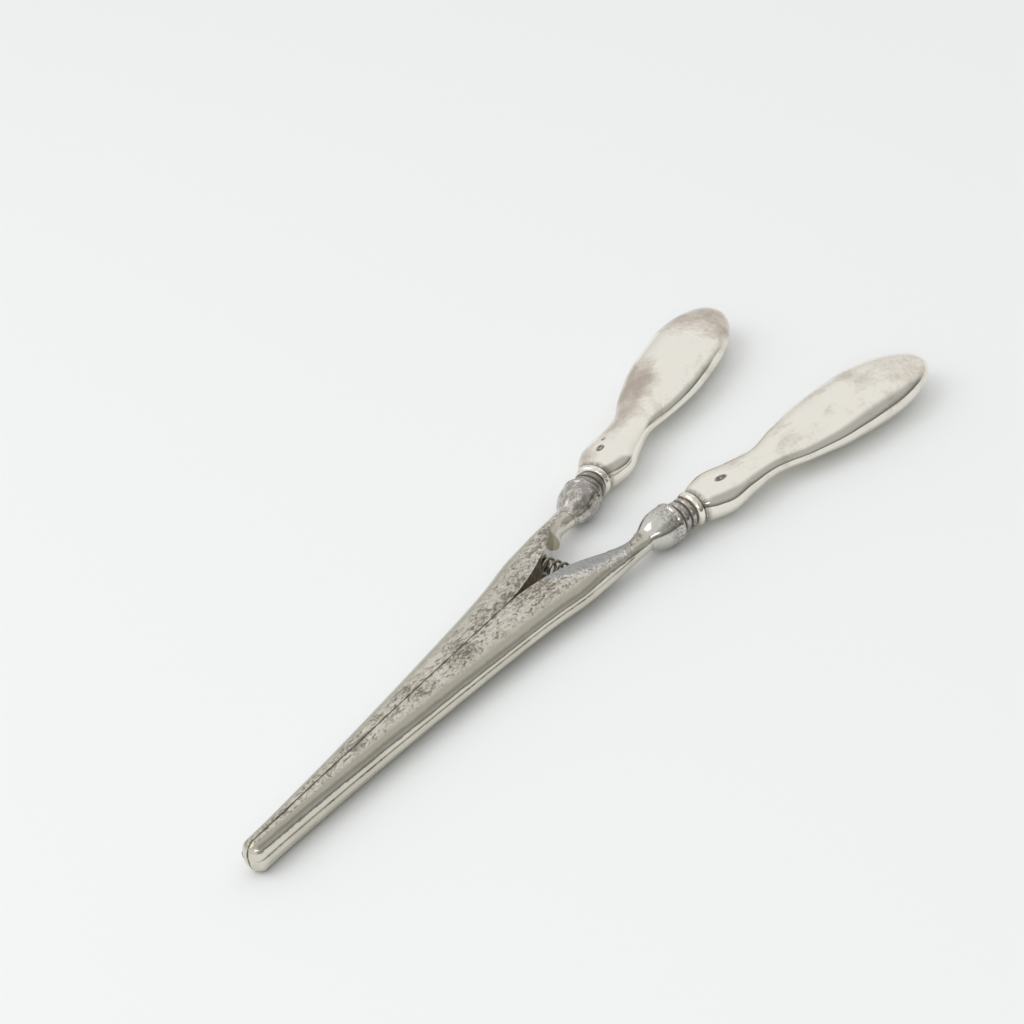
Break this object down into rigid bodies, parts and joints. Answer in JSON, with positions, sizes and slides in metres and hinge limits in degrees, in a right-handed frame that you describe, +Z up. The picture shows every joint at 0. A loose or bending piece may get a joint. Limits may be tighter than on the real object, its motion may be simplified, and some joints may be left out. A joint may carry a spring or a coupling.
{
  "type": "glove stretcher",
  "caption": "Sprung glove stretcher: two hinged steel jaws that open when the hollow silver handles are squeezed, closed by a coil spring",
  "frame": {"origin": "on the resting surface, under the centre of the whole pair's box; the pair lies on the handles' swells and the jaws' nose", "axes": "+X runs from the jaws to the handles along the closed seam's ground line, +Y points to the left limb, +Z is up"},
  "size_m": [0.2058, 0.071, 0.0108],
  "materials": {
    "nickel_plate": "worn nickel plate over steel, pitted, with dark specks where the plate is lost",
    "silver": "polished hollow silver with patches of brown and violet tarnish",
    "bare_steel": "dull steel, filed flush",
    "spring_steel": "darkened spring wire",
    "pitch": "brown pitch filling, sealed inside the handle"
  },
  "bodies": {
    "right_half": {"right_limb": "nickel_plate", "pivot_pin": "bare_steel", "right_ferrule": "silver", "right_handle_upper_shell": "silver", "right_handle_lower_shell": "silver", "right_handle_filling": "pitch", "coil_spring": "spring_steel"},
    "left_half": {"left_limb": "nickel_plate", "left_ferrule": "silver", "left_handle_upper_shell": "silver", "left_handle_lower_shell": "silver", "left_handle_filling": "pitch"}
  },
  "joints": [
    {"name": "jaw_hinge", "type": "hinge", "parent": "right_half", "child": "left_half", "pos_m": [-0.01924, -0.0032, 0.00441], "axis": [0.0098, 0, -1], "range_deg": [0, 15], "stiffness_Nm_per_rad": 1.5, "springref_deg": -6.88, "deforming": ["coil_spring"]}
  ]
}
